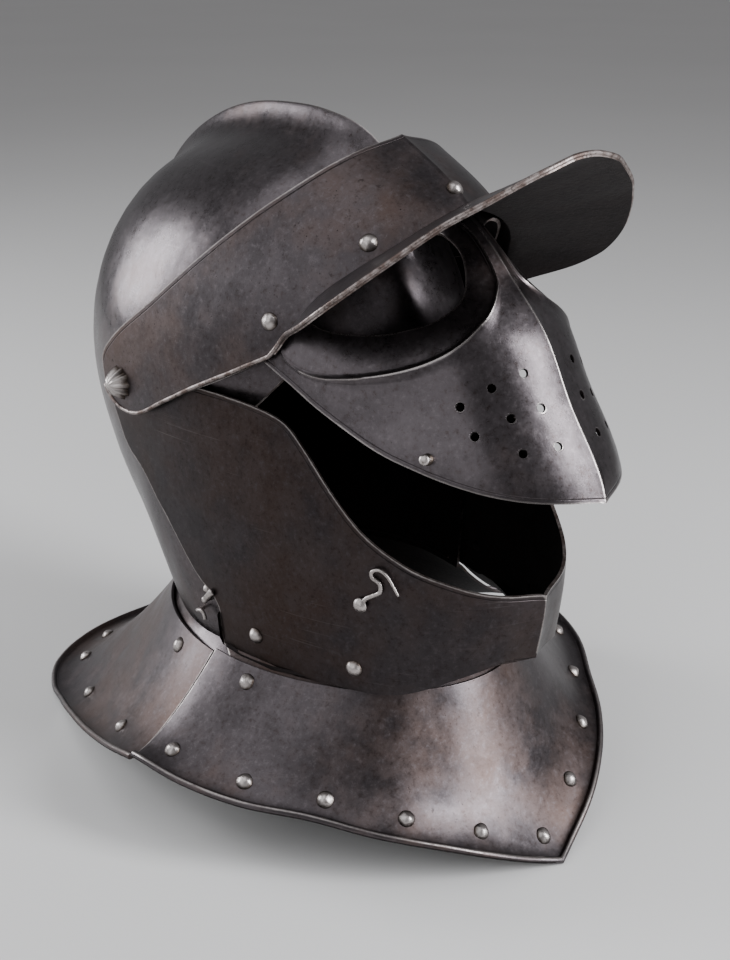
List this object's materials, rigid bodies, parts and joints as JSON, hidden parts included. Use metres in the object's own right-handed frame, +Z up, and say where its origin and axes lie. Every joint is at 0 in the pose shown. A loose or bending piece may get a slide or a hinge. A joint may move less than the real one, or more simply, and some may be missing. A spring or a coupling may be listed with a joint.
{
  "type": "close helmet",
  "caption": "Savoyard close helmet of dark steel: combed skull, peak, visor with round eye openings, bevor and a gorget of two plates with rolled rims.",
  "frame": {"origin": "middle of the helmet's footprint, on the surface that the gorget's rim stands on", "axes": "+Z up, -Y the way that the face looks, +X towards the wearer's left"},
  "size_m": [0.2964, 0.3959, 0.3645],
  "materials": {
    "skull_steel": "waxed dark patina",
    "bevor_steel": "waxed dark patina",
    "visor_steel": "waxed dark patina",
    "peak_steel": "waxed dark patina",
    "gorget_front_steel": "waxed dark patina",
    "gorget_rear_steel": "waxed dark patina",
    "bright_steel": "worn bright"
  },
  "bodies": {
    "bevor_body": {"bevor": "bevor_steel", "bevor_rivet_1": "bright_steel", "bevor_rivet_2": "bright_steel", "bevor_rivet_3": "bright_steel", "bevor_rivet_4": "bright_steel", "front_lining_rivet_1": "bright_steel", "front_lining_rivet_10": "bright_steel", "front_lining_rivet_11": "bright_steel", "front_lining_rivet_2": "bright_steel", "front_lining_rivet_3": "bright_steel", "front_lining_rivet_4": "bright_steel", "front_lining_rivet_5": "bright_steel", "front_lining_rivet_6": "bright_steel", "front_lining_rivet_7": "bright_steel", "front_lining_rivet_8": "bright_steel", "front_lining_rivet_9": "bright_steel", "gorget_front": "gorget_front_steel", "hook_rivet": "bright_steel", "neck_rivet_front_left": "bright_steel", "neck_rivet_front_right": "bright_steel"},
    "skull_body": {"gorget_rear": "gorget_rear_steel", "neck_catch": "bright_steel", "neck_pin_rivet": "bright_steel", "neck_rivet_rear_left": "bright_steel", "neck_rivet_rear_right": "bright_steel", "pivot_rosette_left": "bright_steel", "pivot_rosette_right": "bright_steel", "rear_lining_rivet_1": "bright_steel", "rear_lining_rivet_2": "bright_steel", "rear_lining_rivet_3": "bright_steel", "rear_lining_rivet_4": "bright_steel", "rear_lining_rivet_5": "bright_steel", "rear_lining_rivet_6": "bright_steel", "rear_lining_rivet_7": "bright_steel", "rear_lining_rivet_8": "bright_steel", "skull": "skull_steel"},
    "pin_body": {"neck_pin": "bright_steel"},
    "peak_body": {"peak": "peak_steel", "peak_rivet_1": "bright_steel", "peak_rivet_2": "bright_steel", "peak_rivet_3": "bright_steel", "peak_rivet_4": "bright_steel", "peak_rivet_5": "bright_steel"},
    "visor_body": {"visor": "visor_steel", "visor_stud": "bright_steel"},
    "hook_body": {"visor_hook": "bright_steel"}
  },
  "joints": [
    {"name": "bevor_pivot", "type": "hinge", "parent": "skull_body", "child": "bevor_body", "pos_m": [0, 0.0521, 0.225], "axis": [-1, 0, 0], "range_deg": [0, 60]},
    {"name": "visor_pivot", "type": "hinge", "parent": "bevor_body", "child": "visor_body", "pos_m": [0, 0.0521, 0.225], "axis": [-1, 0, 0], "range_deg": [-16, 30]},
    {"name": "peak_pivot", "type": "hinge", "parent": "visor_body", "child": "peak_body", "pos_m": [0, 0.0521, 0.225], "axis": [-1, 0, 0], "range_deg": [0, 30]},
    {"name": "hook_swivel", "type": "hinge", "parent": "bevor_body", "child": "hook_body", "pos_m": [-0.06478, -0.10318, 0.14136], "axis": [-0.9112, -0.4115, -0.0211], "range_deg": [-60, 60]},
    {"name": "neck_pin_turn", "type": "hinge", "parent": "skull_body", "child": "pin_body", "pos_m": [-0.08442, -0.00564, 0.11549], "axis": [-1, 0, 0], "range_deg": [-90, 90]}
  ]
}
